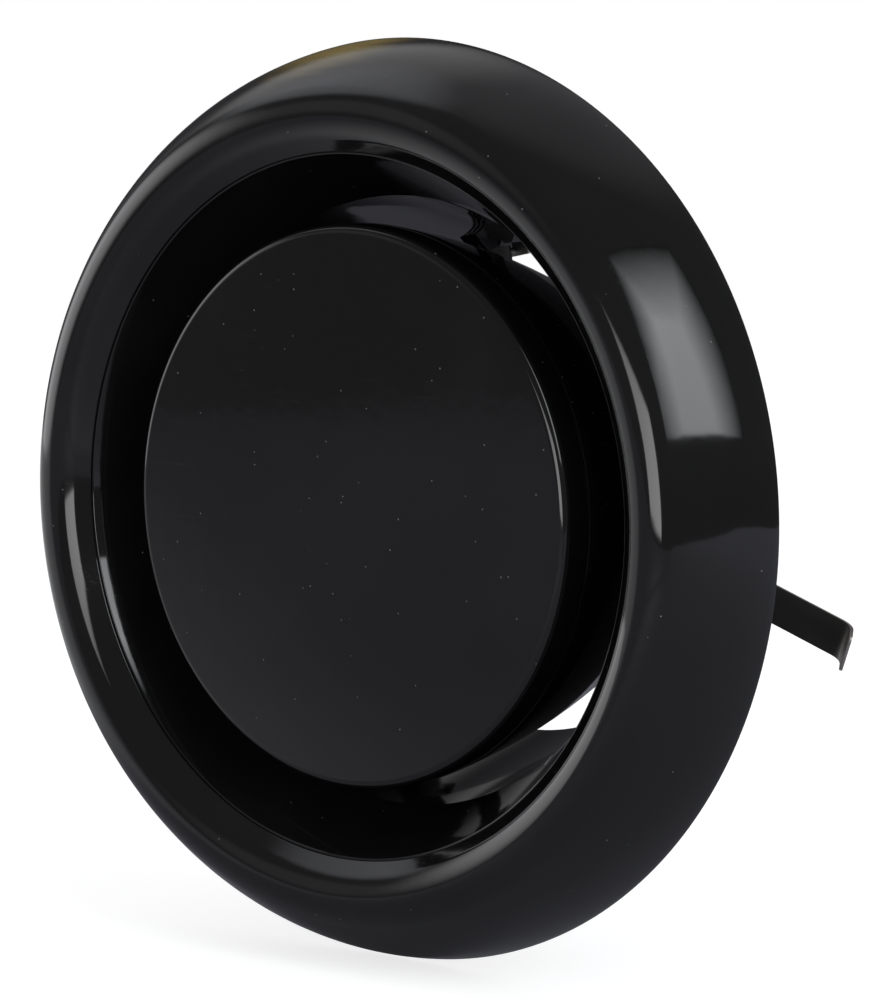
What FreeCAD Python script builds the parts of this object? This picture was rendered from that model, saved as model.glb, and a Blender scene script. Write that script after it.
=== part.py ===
import FreeCAD, Part
import math
import os
import Sketcher

# Exhaust air valve for a round duct of 100 mm, in millimetres.
# The axis lies along Y: the front faces -Y, the duct runs off along +Y and Z is up.
# The origin is on the axis, in the plane of the wall that the ring sits against.

DOCUMENT = FreeCAD.newDocument("exhaust_air_valve")

# Driving dimensions. Depths in front of the wall are given as positive heights.
DIMENSIONS = {
    # Front ring: a hollow moulding with a long flank and a tight crest beside the lip
    "ring_radius": 72.5,
    "ring_wall": 2.2,
    "flank_reach": 7.3,
    "shoulder_height": 15.56,
    "shoulder_slope": 49.0,
    "flank_curve": 31.3,
    "crest_curve": 5.8,
    "lip_slope": 43.95,
    "lip_land": 0.3,
    "crest_reach": 10.3,
    # Throat: funnel, flange and tapered spigot in one moulding
    "seam_drop": 1.76,
    "seam_step": 0.3,
    "throat_wall": 1.8,
    "funnel_taper": 6.9,
    "spigot_taper": 8.1,
    "rear_depth": 32.2,
    "land_rise": 1.5,
    "land_depth": 5.0,
    "flange_gap": 1.5,
    "flange_thickness": 2.0,
    # Foam gasket behind the flange
    "gasket_thickness": 2.8,
    "gasket_clearance": 2.5,
    "gasket_inset": 0.8,
    # Arms, hub and clip bosses, moulded with the throat
    "arm_angle": -19.4,
    "arm_inset": 2.6,
    "arm_depth": 4.4,
    "arm_width": 3.4,
    "arm_groove_width": 1.2,
    "arm_groove_depth": 0.8,
    "arm_groove_margin": 0.5,
    "gusset_depth": 5.6,
    "gusset_reach": 5.9,
    "hub_wall": 3.0,
    "hub_draft": 0.5,
    "hub_length": 13.4,
    "hub_rib_reach": 13.0,
    "hub_rib_depth": 7.6,
    "boss_wall": 1.2,
    "boss_reach": 1.3,
    "boss_floor": 0.5,
    "boss_stand": 4.3,
    "pilot_clearance": 0.1,
    "pilot_spare": 0.5,
    # Disc plate
    "mouth_gap": 11.1,
    "disc_front": 14.0,
    "disc_edge": 5.5,
    "disc_edge_curve": 1.4,
    "disc_wall": 2.4,
    "skirt_inset": 3.0,
    "skirt_wall": 1.6,
    "skirt_depth": 6.4,
    "stem_wall": 2.5,
    "stem_insert_depth": 12.2,
    # Cone behind the disc
    "cone_rim_reach": 0.1,
    "cone_rim_gap": 0.3,
    "cone_curve": 149.0,
    "cone_wall": 1.8,
    "cone_taper": 8.3,
    "cone_clearance": 2.8,
    "cone_corner": 1.5,
    "cone_corner_width": 2.0,
    "well_radius": 10.0,
    "well_depth": 8.6,
    # Threaded spindle and its nuts
    "thread_radius": 2.95,
    "thread_clearance": 0.05,
    "hole_clearance": 0.3,
    "spindle_cover": 5.6,
    "spindle_end_gap": 0.5,
    "spindle_rear": 68.0,
    "spindle_chamfer": 0.8,
    "nut_width": 10.0,
    "nut_thickness": 5.0,
    "nut_chamfer_slope": 0.5,
    "washer_radius": 6.0,
    "washer_thickness": 1.6,
    "insert_radius": 4.5,
    "insert_clearance": 0.05,
    "insert_collar_radius": 6.2,
    "insert_collar_thickness": 1.0,
    # Spring clips and their screws
    "clip_width": 6.0,
    "clip_thickness": 0.5,
    "clip_tab": 3.3,
    "clip_neck": 3.4,
    "clip_hinge_gap": 0.05,
    "clip_straight": 16.3,
    "clip_bend_radius": 3.75,
    "clip_bend_angle": 56.0,
    "clip_lip": 3.8,
    "clip_corner": 1.0,
    "screw_hole_clearance": 0.2,
    "screw_radius": 1.1,
    "screw_length": 5.0,
    "screw_head_radius": 2.0,
    "screw_head_height": 1.2,
    "screw_head_edge": 0.4,
    "recess_length": 2.4,
    "recess_width": 0.6,
    "recess_depth": 0.7,
    # How far one feature of a body is sunk into the next, or a cut starts outside it
    "overlap": 1.0,
}
# A half-round end's radius is a hair over half the strip, so that its sketch has one answer
HALF_ROUND = 1.0001
EDGE_TOLERANCE = 0.01
ARM_COUNT = 3
CLIP_NAMES = ("right", "top", "left")
SHEET_NAME = "Dimensions"


class Size:
    """A length or angle that knows both its number and its expression on the sheet."""

    def __init__(self, number, text):
        self.number = number
        self.text = text

    def joined(self, other, sign, number):
        text = other.text if isinstance(other, Size) else repr(float(other))
        return Size(number, f"({self.text} {sign} {text})")

    def __add__(self, other):
        return self.joined(other, "+", self.number + plain(other))

    def __sub__(self, other):
        return self.joined(other, "-", self.number - plain(other))

    def __mul__(self, other):
        return self.joined(other, "*", self.number * plain(other))

    def __truediv__(self, other):
        return self.joined(other, "/", self.number / plain(other))

    def __neg__(self):
        return Size(-self.number, f"(-1 * {self.text})")

    def cos(self):
        return Size(math.cos(math.radians(self.number)), f"cos({self.text})")

    def sin(self):
        return Size(math.sin(math.radians(self.number)), f"sin({self.text})")


def plain(value):
    return value.number if isinstance(value, Size) else float(value)


def write_sheet():
    sheet = DOCUMENT.addObject("Spreadsheet::Sheet", SHEET_NAME)
    for row, (name, number) in enumerate(DIMENSIONS.items(), start=1):
        sheet.set(f"A{row}", name)
        sheet.set(f"B{row}", str(number))
        sheet.setAlias(f"B{row}", name)
    DOCUMENT.recompute()
    return {name: Size(float(sheet.get(name)), f"{SHEET_NAME}.{name}") for name in DIMENSIONS}


def tie_sizes(s):
    """Adds the sizes that follow others by a named reach, wall, gap or clearance."""
    s["shoulder_radius"] = s["ring_radius"] - s["flank_reach"]
    s["lip_radius"] = s["shoulder_radius"] - s["crest_reach"]
    s["crease_radius"] = s["lip_radius"] - s["funnel_taper"]
    s["rear_radius"] = s["crease_radius"] - s["spigot_taper"]
    s["land_radius"] = s["crease_radius"] + s["land_rise"]
    s["seam_height"] = s["shoulder_height"] - s["seam_drop"]
    s["flange_radius"] = s["ring_radius"] - s["ring_wall"] - s["flange_gap"]
    s["gasket_inner_radius"] = s["land_radius"] + s["gasket_clearance"]
    s["gasket_outer_radius"] = s["flange_radius"] - s["gasket_inset"]
    s["arm_front"] = s["rear_depth"] - s["arm_inset"]
    s["gusset_front"] = s["arm_front"] - s["gusset_depth"]
    s["hub_radius"] = s["insert_radius"] + s["hub_wall"]
    s["hub_rear_radius"] = s["hub_radius"] - s["hub_draft"]
    s["disc_radius"] = s["lip_radius"] - s["mouth_gap"]
    s["skirt_radius"] = s["disc_radius"] - s["skirt_inset"]
    s["stem_radius"] = s["insert_radius"] + s["stem_wall"]
    s["cone_radius"] = s["disc_radius"] + s["cone_rim_reach"]
    s["cone_front"] = s["disc_front"] - s["disc_edge"] - s["cone_rim_gap"]
    s["cone_rear_radius"] = s["cone_radius"] - s["cone_taper"]
    s["cone_floor_radius"] = s["cone_rear_radius"] - s["cone_corner_width"]
    s["cone_rear"] = s["arm_front"] - s["cone_clearance"]
    s["spindle_front"] = s["disc_front"] - s["spindle_cover"]
    s["pilot_radius"] = s["screw_radius"] + s["pilot_clearance"]
    s["pilot_depth"] = s["screw_length"] - s["clip_thickness"] + s["pilot_spare"]
    s["boss_radius"] = s["pilot_radius"] + s["boss_wall"]
    s["boss_place"] = s["rear_radius"] + s["boss_reach"]
    s["boss_rear"] = s["rear_depth"] + s["boss_stand"]
    s["boss_front"] = s["boss_rear"] - s["pilot_depth"] - s["boss_floor"]
    s["clip_inner_end"] = s["boss_place"] - s["clip_tab"]
    s["clip_hinge"] = s["boss_place"] + s["clip_neck"]
    s["clip_bend_place"] = s["clip_hinge"] + s["clip_straight"]
    s["screw_hole_radius"] = s["screw_radius"] + s["screw_hole_clearance"]


size = write_sheet()
tie_sizes(size)
ZERO = Size(0.0, "0")

# Sketching


def new_body(name):
    body = DOCUMENT.addObject("PartDesign::Body", name)
    body.Label = name
    return body


def plane(body, role):
    return next(item for item in body.Origin.OriginFeatures if item.Role == role)


def new_sketch(body, name, role="XY_Plane", depth=None):
    """A sketch on a plane of the body. On XZ_Plane, depth carries it back along +Y."""
    sketch = body.newObject("Sketcher::SketchObject", f"{body.Name}_{name}")
    sketch.AttachmentSupport = (plane(body, role), [""])
    sketch.MapMode = "FlatFace"
    if depth is not None:
        sketch.AttachmentOffset = FreeCAD.Placement(FreeCAD.Vector(0, 0, -depth.number), FreeCAD.Rotation())
        sketch.setExpression("AttachmentOffset.Base.z", (-depth).text)
    return sketch


def bind(sketch, kind, geometry, value):
    index = sketch.addConstraint(Sketcher.Constraint(kind, *geometry, value.number))
    sketch.setExpression(f"Constraints[{index}]", value.text)


def pin_point(sketch, curve, end, x, y):
    """Holds one end of a curve at x, y from the origin."""
    for kind, axis, value in (("DistanceX", -2, x), ("DistanceY", -1, y)):
        if value is ZERO:
            sketch.addConstraint(Sketcher.Constraint("PointOnObject", curve, end, axis))
        elif value.number < 0:
            bind(sketch, kind, (curve, end, -1, 1), -value)
        else:
            bind(sketch, kind, (-1, 1, curve, end), value)


def arc_between(start, end, radius, left):
    """The shorter arc between two points, its centre on the left or right of the way."""
    middle = (start + end) * 0.5
    way = end - start
    half = way.Length / 2
    side = FreeCAD.Vector(-way.y, way.x, 0).normalize() * (1 if left else -1)
    centre = middle + side * math.sqrt(max(radius * radius - half * half, 0))
    first, last = (start, end) if left else (end, start)
    angles = [math.atan2(p.y - centre.y, p.x - centre.x) for p in (first, last)]
    return Part.ArcOfCircle(Part.Circle(centre, FreeCAD.Vector(0, 0, 1), radius), *angles)


def outline(sketch, corners):
    """A closed outline. A corner is (x, y), or (x, y, radius, side) where an arc leaves it."""
    points = [FreeCAD.Vector(plain(c[0]), plain(c[1]), 0) for c in corners]
    starts, ends = [], []
    for number, corner in enumerate(corners):
        start, end = points[number], points[(number + 1) % len(corners)]
        if len(corner) == 2:
            curve = sketch.addGeometry(Part.LineSegment(start, end))
            starts.append((curve, 1))
            ends.append((curve, 2))
        else:
            left = corner[3] == "left"
            curve = sketch.addGeometry(arc_between(start, end, corner[2].number, left))
            starts.append((curve, 1 if left else 2))
            ends.append((curve, 2 if left else 1))
    for number in range(len(corners)):
        following = starts[(number + 1) % len(corners)]
        sketch.addConstraint(Sketcher.Constraint("Coincident", *ends[number], *following))
    for number, corner in enumerate(corners):
        pin_point(sketch, *starts[number], corner[0], corner[1])
        if len(corner) == 4:
            bind(sketch, "Radius", (starts[number][0],), corner[2])


def circle(sketch, x, y, radius):
    centre = FreeCAD.Vector(plain(x), plain(y), 0)
    curve = sketch.addGeometry(Part.Circle(centre, FreeCAD.Vector(0, 0, 1), radius.number))
    pin_point(sketch, curve, 3, x, y)
    bind(sketch, "Radius", (curve,), radius)


# Features


def turned(body, name, corners, kind="PartDesign::Revolution"):
    """A full turn of an outline about the valve's axis."""
    sketch = new_sketch(body, f"{name}_sketch")
    outline(sketch, corners)
    feature = body.newObject(kind, f"{body.Name}_{name}")
    feature.Profile = sketch
    feature.ReferenceAxis = (sketch, ["V_Axis"])
    feature.Angle = 360
    DOCUMENT.recompute()
    return feature


def slab(body, name, corners, width, kind="PartDesign::Pad"):
    """An outline in the XY plane, spread evenly to both sides."""
    sketch = new_sketch(body, f"{name}_sketch")
    outline(sketch, corners)
    feature = body.newObject(kind, f"{body.Name}_{name}")
    feature.Profile = sketch
    feature.Length = width.number
    feature.setExpression("Length", width.text)
    feature.SideType = "Symmetric"
    DOCUMENT.recompute()
    return feature


def rod(body, name, draw, depth, length, kind="PartDesign::Pad"):
    """A closed sketch at a depth behind the wall plane, carried back along +Y."""
    sketch = new_sketch(body, f"{name}_sketch", "XZ_Plane", depth)
    draw(sketch)
    feature = body.newObject(kind, f"{body.Name}_{name}")
    feature.Profile = sketch
    feature.Length = length.number
    feature.setExpression("Length", length.text)
    feature.Reversed = kind == "PartDesign::Pad"
    DOCUMENT.recompute()
    return feature


def around_axis(body, name, features):
    """Repeats features evenly about the valve's axis."""
    pattern = body.newObject("PartDesign::PolarPattern", f"{body.Name}_{name}")
    pattern.Originals = features
    pattern.Axis = (plane(body, "Y_Axis"), [""])
    pattern.Angle = 360
    pattern.Occurrences = ARM_COUNT
    body.Tip = pattern
    DOCUMENT.recompute()
    return pattern


def turn_about_axis(item, angle):
    """Turns a sub-part about Y, so that what was drawn along +X points at the angle."""
    item.Placement = FreeCAD.Placement(FreeCAD.Vector(), FreeCAD.Vector(0, 1, 0), -angle)


# Front ring
def front_ring():
    s = size
    body = new_body("front_ring")
    outer, lip = s["shoulder_slope"], s["lip_slope"]
    crest = (
        s["shoulder_radius"] - s["crest_curve"] * outer.sin(),
        s["shoulder_height"] - s["crest_curve"] * outer.cos(),
    )
    inner_crest = s["crest_curve"] - s["ring_wall"]
    inner_height = crest[1] + inner_crest * lip.cos()
    inner_drop = (inner_height - s["seam_height"]) * lip.cos() / lip.sin()
    inner_foot = crest[0] - inner_crest * lip.sin() - inner_drop
    turned(body, "shell", [
        (s["ring_radius"], ZERO, s["flank_curve"], "right"),
        (s["shoulder_radius"], -s["shoulder_height"], s["crest_curve"], "right"),
        (crest[0] - s["crest_curve"] * lip.sin(), -(crest[1] + s["crest_curve"] * lip.cos())),
        (s["lip_radius"], -(s["seam_height"] + s["lip_land"])),
        (s["lip_radius"], -s["seam_height"]),
        (inner_foot, -s["seam_height"]),
        (crest[0] - inner_crest * lip.sin(), -inner_height, inner_crest, "left"),
        (crest[0] + inner_crest * outer.sin(), -(crest[1] + inner_crest * outer.cos()),
         s["flank_curve"] - s["ring_wall"], "left"),
        (s["ring_radius"] - s["ring_wall"], ZERO),
    ])
    return body


# Throat: funnel, flange, land, tapered spigot, arms, hub and clip bosses
def throat():
    s = size
    body = new_body("throat")
    wall = s["throat_wall"]
    taper = (s["crease_radius"] - s["rear_radius"]) / s["rear_depth"]
    flange_back = -s["gasket_thickness"]
    flange_front = flange_back - s["flange_thickness"]
    funnel_slope = (s["lip_radius"] - s["seam_step"] - s["crease_radius"]) / s["seam_height"]
    land_foot = s["crease_radius"] - taper * s["land_depth"] + wall
    arm_rear = s["arm_front"] + s["arm_depth"]
    turned(body, "shell", [
        (s["lip_radius"] - s["seam_step"], -s["seam_height"]),
        (s["crease_radius"], ZERO),
        (s["rear_radius"], s["rear_depth"]),
        (s["rear_radius"] + wall, s["rear_depth"]),
        (land_foot, s["land_depth"]),
        (s["land_radius"], s["land_depth"]),
        (s["land_radius"], flange_back),
        (s["flange_radius"], flange_back),
        (s["flange_radius"], flange_front),
        (s["crease_radius"] + wall - funnel_slope * flange_front, flange_front),
        (s["lip_radius"] + wall, -s["seam_height"]),
    ])
    hub_rear = s["arm_front"] + s["hub_length"]
    bore = s["insert_radius"] + s["insert_clearance"]
    turned(body, "hub", [
        (bore, s["arm_front"]),
        (s["hub_radius"], s["arm_front"]),
        (s["hub_radius"], arm_rear),
        (s["hub_rear_radius"], hub_rear),
        (bore, hub_rear),
    ])
    wall_middle = s["rear_radius"] + wall / 2
    gusset_wall = s["crease_radius"] - taper * s["gusset_front"] + wall / 2
    root = s["hub_radius"] - s["overlap"]
    arm = slab(body, "arm", [
        (root, s["arm_front"]),
        (gusset_wall - s["gusset_reach"], s["arm_front"]),
        (gusset_wall, s["gusset_front"]),
        (wall_middle, s["rear_depth"]),
        (wall_middle, arm_rear),
        (root, arm_rear),
    ], s["arm_width"])
    groove_start = s["hub_radius"] + s["arm_groove_margin"]
    groove_end = gusset_wall - s["gusset_reach"] - s["arm_groove_margin"]
    groove = slab(body, "arm_groove", [
        (groove_start, s["arm_front"] - s["overlap"]),
        (groove_end, s["arm_front"] - s["overlap"]),
        (groove_end, s["arm_front"] + s["arm_groove_depth"]),
        (groove_start, s["arm_front"] + s["arm_groove_depth"]),
    ], s["arm_groove_width"], "PartDesign::Pocket")
    rib = slab(body, "hub_rib", [
        (root, arm_rear - s["overlap"]),
        (s["hub_radius"] + s["hub_rib_reach"], arm_rear - s["overlap"]),
        (s["hub_radius"] + s["hub_rib_reach"], arm_rear),
        (root, arm_rear + s["hub_rib_depth"]),
    ], s["arm_width"] / 2)
    boss = rod(body, "clip_boss", lambda sketch: circle(sketch, s["boss_place"], ZERO, s["boss_radius"]),
               s["boss_front"], s["boss_rear"] - s["boss_front"])
    pilot = rod(body, "pilot", lambda sketch: circle(sketch, s["boss_place"], ZERO, s["pilot_radius"]),
                s["boss_rear"] - s["pilot_depth"], s["pilot_depth"], "PartDesign::Pocket")
    around_axis(body, "arms", [arm, groove, rib, boss, pilot])
    turn_about_axis(body, s["arm_angle"].number)
    return body


# Foam gasket, pressed flat behind the flange
def flange_gasket():
    s = size
    body = new_body("flange_gasket")
    turned(body, "ring", [
        (s["gasket_inner_radius"], -s["gasket_thickness"]),
        (s["gasket_outer_radius"], -s["gasket_thickness"]),
        (s["gasket_outer_radius"], ZERO),
        (s["gasket_inner_radius"], ZERO),
    ])
    return body


# Disc plate with its rolled edge, locating skirt and central stem
def disc_plate():
    s = size
    body = new_body("disc_plate")
    back = -(s["disc_front"] - s["disc_wall"])
    edge_back = -(s["disc_front"] - s["disc_edge"])
    skirt_inner = s["skirt_radius"] - s["skirt_wall"]
    stem_end = s["cone_rear"] - s["well_depth"] - s["cone_wall"]
    thread_bore = s["thread_radius"] + s["hole_clearance"]
    insert_bore = s["insert_radius"] + s["insert_clearance"]
    insert_front = stem_end - s["stem_insert_depth"]
    stem_bottom = -(s["spindle_front"] + s["spindle_end_gap"])
    turned(body, "plate", [
        (ZERO, -s["disc_front"]),
        (s["disc_radius"] - s["disc_edge_curve"], -s["disc_front"], s["disc_edge_curve"], "left"),
        (s["disc_radius"], -(s["disc_front"] - s["disc_edge_curve"])),
        (s["disc_radius"], edge_back),
        (s["skirt_radius"], edge_back),
        (s["skirt_radius"], edge_back + s["skirt_depth"]),
        (skirt_inner, edge_back + s["skirt_depth"]),
        (skirt_inner, back),
        (s["stem_radius"], back),
        (s["stem_radius"], stem_end),
        (insert_bore, stem_end),
        (insert_bore, insert_front),
        (thread_bore, insert_front),
        (thread_bore, stem_bottom),
        (ZERO, stem_bottom),
    ])
    return body


# Brass insert moulded into the stem, which takes the spindle
def stem_insert():
    s = size
    body = new_body("stem_insert")
    stem_end = s["cone_rear"] - s["well_depth"] - s["cone_wall"]
    bore = s["thread_radius"] + s["thread_clearance"]
    turned(body, "bush", [
        (bore, stem_end - s["stem_insert_depth"]),
        (s["insert_radius"], stem_end - s["stem_insert_depth"]),
        (s["insert_radius"], stem_end),
        (bore, stem_end),
    ])
    return body


# Cone: a thin bowl, open at the front, with a well for its nut in the closed rear
def cone():
    s = size
    body = new_body("cone")
    wall = s["cone_wall"]
    floor = s["cone_rear"] - wall
    corner_depth = s["cone_rear"] - s["cone_corner"]
    well_floor = s["cone_rear"] - s["well_depth"]
    bore = s["thread_radius"] + s["hole_clearance"]
    turned(body, "bowl", [
        (s["cone_radius"] - wall, -s["cone_front"]),
        (s["cone_radius"], -s["cone_front"], s["cone_curve"], "left"),
        (s["cone_rear_radius"], corner_depth),
        (s["cone_floor_radius"], s["cone_rear"]),
        (s["well_radius"], s["cone_rear"]),
        (s["well_radius"], well_floor),
        (bore, well_floor),
        (bore, well_floor - wall),
        (s["well_radius"] + wall, well_floor - wall),
        (s["well_radius"] + wall, floor),
        (s["cone_floor_radius"] - wall / 2, floor),
        (s["cone_rear_radius"] - wall, floor - s["cone_corner"], s["cone_curve"] - wall, "right"),
    ])
    return body


# Threaded spindle, drawn at its pitch diameter
def spindle():
    s = size
    body = new_body("spindle")
    chamfer = s["spindle_chamfer"]
    turned(body, "rod", [
        (ZERO, -s["spindle_front"]),
        (s["thread_radius"] - chamfer, -s["spindle_front"]),
        (s["thread_radius"], -s["spindle_front"] + chamfer),
        (s["thread_radius"], s["spindle_rear"] - chamfer),
        (s["thread_radius"] - chamfer, s["spindle_rear"]),
        (ZERO, s["spindle_rear"]),
    ])
    return body


def washer(name, front):
    s = size
    body = new_body(name)
    turned(body, "ring", [
        (s["thread_radius"] + s["hole_clearance"], front),
        (s["washer_radius"], front),
        (s["washer_radius"], front + s["washer_thickness"]),
        (s["thread_radius"] + s["hole_clearance"], front + s["washer_thickness"]),
    ])
    return body


def hexagon(sketch, across_flats):
    """Six equal sides about the axis, with two of them square to X."""
    half = across_flats / 2
    corner = across_flats / (2 * math.sqrt(3))
    outline(sketch, [
        (half, corner), (ZERO, corner * 2), (-half, corner),
        (-half, -corner), (ZERO, -(corner * 2)), (half, -corner),
    ])


def nut(name, front):
    """A hexagon nut whose corners are turned off at both faces."""
    s = size
    body = new_body(name)
    rod(body, "hexagon", lambda sketch: hexagon(sketch, s["nut_width"]), front, s["nut_thickness"])
    bore = s["thread_radius"] + s["thread_clearance"]
    rod(body, "bore", lambda sketch: circle(sketch, ZERO, ZERO, bore), front, s["nut_thickness"],
        "PartDesign::Pocket")
    flat = s["nut_width"] / 2
    outer = s["nut_width"]
    rear = front + s["nut_thickness"]
    drop = (outer - flat) * s["nut_chamfer_slope"]
    turned(body, "front_chamfer", [(flat, front), (outer, front), (outer, front + drop)],
           "PartDesign::Groove")
    turned(body, "rear_chamfer", [(flat, rear), (outer, rear - drop), (outer, rear)],
           "PartDesign::Groove")
    return body


# Brass insert in the hub, with a collar at the rear
def hub_insert():
    s = size
    body = new_body("hub_insert")
    bore = s["thread_radius"] + s["thread_clearance"]
    rear = s["arm_front"] + s["hub_length"]
    turned(body, "bush", [
        (bore, s["arm_front"]),
        (s["insert_radius"], s["arm_front"]),
        (s["insert_radius"], rear),
        (s["insert_collar_radius"], rear),
        (s["insert_collar_radius"], rear + s["insert_collar_thickness"]),
        (bore, rear + s["insert_collar_thickness"]),
    ])
    return body


# Spring clip: one bent strip, cut at its bending line into a clamped root and a blade
def clip_root(name, angle):
    s = size
    body = new_body(name)
    half = s["clip_width"] / 2
    outer_end = s["clip_hinge"] - s["clip_thickness"] / 2 - s["clip_hinge_gap"]
    rod(body, "tab", lambda sketch: outline(sketch, [
        (s["clip_inner_end"], -half), (outer_end, -half), (outer_end, half), (s["clip_inner_end"], half),
    ]), s["boss_rear"], s["clip_thickness"])
    rod(body, "hole", lambda sketch: circle(sketch, s["boss_place"], ZERO, s["screw_hole_radius"]),
        s["boss_rear"], s["clip_thickness"], "PartDesign::Pocket")
    turn_about_axis(body, angle)
    return body


def clip_blade(name, angle):
    s = size
    body = new_body(name)
    front = s["boss_rear"]
    rear = front + s["clip_thickness"]
    inner = s["clip_bend_radius"]
    outer = inner + s["clip_thickness"]
    turn = s["clip_bend_angle"]
    centre = front - inner
    inner_end = (s["clip_bend_place"] + inner * turn.sin(), centre + inner * turn.cos())
    outer_end = (s["clip_bend_place"] + outer * turn.sin(), centre + outer * turn.cos())
    reach = (s["clip_lip"] * turn.cos(), s["clip_lip"] * turn.sin())
    slab(body, "strip", [
        (s["clip_hinge"], front),
        (s["clip_bend_place"], front, inner, "right"),
        inner_end,
        (inner_end[0] + reach[0], inner_end[1] - reach[1]),
        (outer_end[0] + reach[0], outer_end[1] - reach[1]),
        (*outer_end, outer, "left"),
        (s["clip_bend_place"], rear),
        (s["clip_hinge"], rear, s["clip_thickness"] / 2 * HALF_ROUND, "left"),
    ], s["clip_width"])
    tip = (inner_end[0] + reach[0]).number
    strip = body.Tip
    corners = [
        f"Edge{number}" for number, edge in enumerate(strip.Shape.Edges, start=1)
        if edge.Length < s["clip_thickness"].number + EDGE_TOLERANCE
        and min(vertex.X for vertex in edge.Vertexes) > tip - EDGE_TOLERANCE
    ]
    fillet = body.newObject("PartDesign::Fillet", f"{name}_corners")
    fillet.Base = (strip, corners)
    fillet.Radius = s["clip_corner"].number
    fillet.setExpression("Radius", s["clip_corner"].text)
    DOCUMENT.recompute()
    turn_about_axis(body, angle)
    return body


def cross(sketch, place, half_length, half_width):
    """The outline of a cross-shaped recess, its middle on X."""
    near, far = half_width, half_length
    outline(sketch, [
        (place + far, -near), (place + far, near), (place + near, near), (place + near, far),
        (place - near, far), (place - near, near), (place - far, near), (place - far, -near),
        (place - near, -near), (place - near, -far), (place + near, -far), (place + near, -near),
    ])


def clip_screw(name, angle):
    s = size
    body = new_body(name)
    seat = s["boss_rear"] + s["clip_thickness"]
    place = s["boss_place"]
    rod(body, "shank", lambda sketch: circle(sketch, place, ZERO, s["screw_radius"]),
        seat - s["screw_length"], s["screw_length"] + s["overlap"])
    head = rod(body, "head", lambda sketch: circle(sketch, place, ZERO, s["screw_head_radius"]),
               seat, s["screw_head_height"])
    rim = [
        f"Edge{number}" for number, edge in enumerate(head.Shape.Edges, start=1)
        if len(edge.Vertexes) == 1
        and abs(edge.Vertexes[0].Y - (seat + s["screw_head_height"]).number) < EDGE_TOLERANCE
    ]
    fillet = body.newObject("PartDesign::Fillet", f"{name}_edge")
    fillet.Base = (head, rim)
    fillet.Radius = s["screw_head_edge"].number
    fillet.setExpression("Radius", s["screw_head_edge"].text)
    DOCUMENT.recompute()
    recess_floor = seat + s["screw_head_height"] - s["recess_depth"]
    rod(body, "recess", lambda sketch: cross(sketch, place, s["recess_length"] / 2, s["recess_width"] / 2),
        recess_floor, s["recess_depth"], "PartDesign::Pocket")
    turn_about_axis(body, angle)
    return body


def build_all():
    s = size
    cone_seat = s["cone_rear"] - s["well_depth"]
    lock_seat = s["arm_front"] + s["hub_length"] + s["insert_collar_thickness"]
    parts = [
        front_ring(), throat(), flange_gasket(), disc_plate(), stem_insert(), cone(), spindle(),
        washer("cone_washer", cone_seat), nut("cone_nut", cone_seat + s["washer_thickness"]),
        hub_insert(),
        washer("lock_washer", lock_seat), nut("lock_nut", lock_seat + s["washer_thickness"]),
    ]
    for number, place in enumerate(CLIP_NAMES):
        angle = s["arm_angle"].number + number * 360 / ARM_COUNT
        parts.append(clip_root(f"clip_root_{place}", angle))
        parts.append(clip_blade(f"clip_blade_{place}", angle))
        parts.append(clip_screw(f"clip_screw_{place}", angle))
    return parts


def check(parts):
    """Stops before anything is written if a feature failed or a shape is not sound."""
    DOCUMENT.recompute()
    for item in DOCUMENT.Objects:
        if "Invalid" in item.State or "Error" in item.State:
            raise RuntimeError(f"{item.Name} failed: {item.State}")
    for item in parts:
        if item.Shape.isNull() or not item.Shape.isValid():
            raise RuntimeError(f"{item.Label} has no valid shape")


def write(parts):
    os.makedirs("parts", exist_ok=True)
    for item in parts:
        item.Shape.exportStep(f"parts/{item.Label}.step")
        print(f"{item.Label}: {item.Shape.Volume:.1f} mm3, {len(item.Shape.Solids)} solid")


PARTS = build_all()
check(PARTS)
write(PARTS)
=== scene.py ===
import math

import bmesh
import bpy
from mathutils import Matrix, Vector


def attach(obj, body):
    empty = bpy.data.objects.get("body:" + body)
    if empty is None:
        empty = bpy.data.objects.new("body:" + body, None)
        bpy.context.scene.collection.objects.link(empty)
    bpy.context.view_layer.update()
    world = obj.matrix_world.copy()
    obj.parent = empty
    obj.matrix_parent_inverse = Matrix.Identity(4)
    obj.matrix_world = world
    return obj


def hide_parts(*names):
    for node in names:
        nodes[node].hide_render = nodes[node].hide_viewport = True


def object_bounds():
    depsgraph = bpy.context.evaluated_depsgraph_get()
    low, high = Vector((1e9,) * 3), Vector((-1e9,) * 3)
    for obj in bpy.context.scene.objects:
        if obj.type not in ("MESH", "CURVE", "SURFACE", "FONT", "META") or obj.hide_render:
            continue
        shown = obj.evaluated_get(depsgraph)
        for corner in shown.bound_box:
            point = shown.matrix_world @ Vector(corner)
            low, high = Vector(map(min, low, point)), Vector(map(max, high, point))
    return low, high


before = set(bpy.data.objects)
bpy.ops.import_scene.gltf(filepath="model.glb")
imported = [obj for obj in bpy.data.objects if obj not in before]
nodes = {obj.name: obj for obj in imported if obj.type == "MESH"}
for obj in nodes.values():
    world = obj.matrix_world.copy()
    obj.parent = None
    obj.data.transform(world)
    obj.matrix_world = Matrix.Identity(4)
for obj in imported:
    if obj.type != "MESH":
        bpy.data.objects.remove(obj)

# Exhaust air valve: the valve's axis lies along Y, its disc faces -Y and Z is up, in metres
mm = 0.001
cadBox = [list(corner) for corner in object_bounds()]
scene = bpy.context.scene

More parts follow.
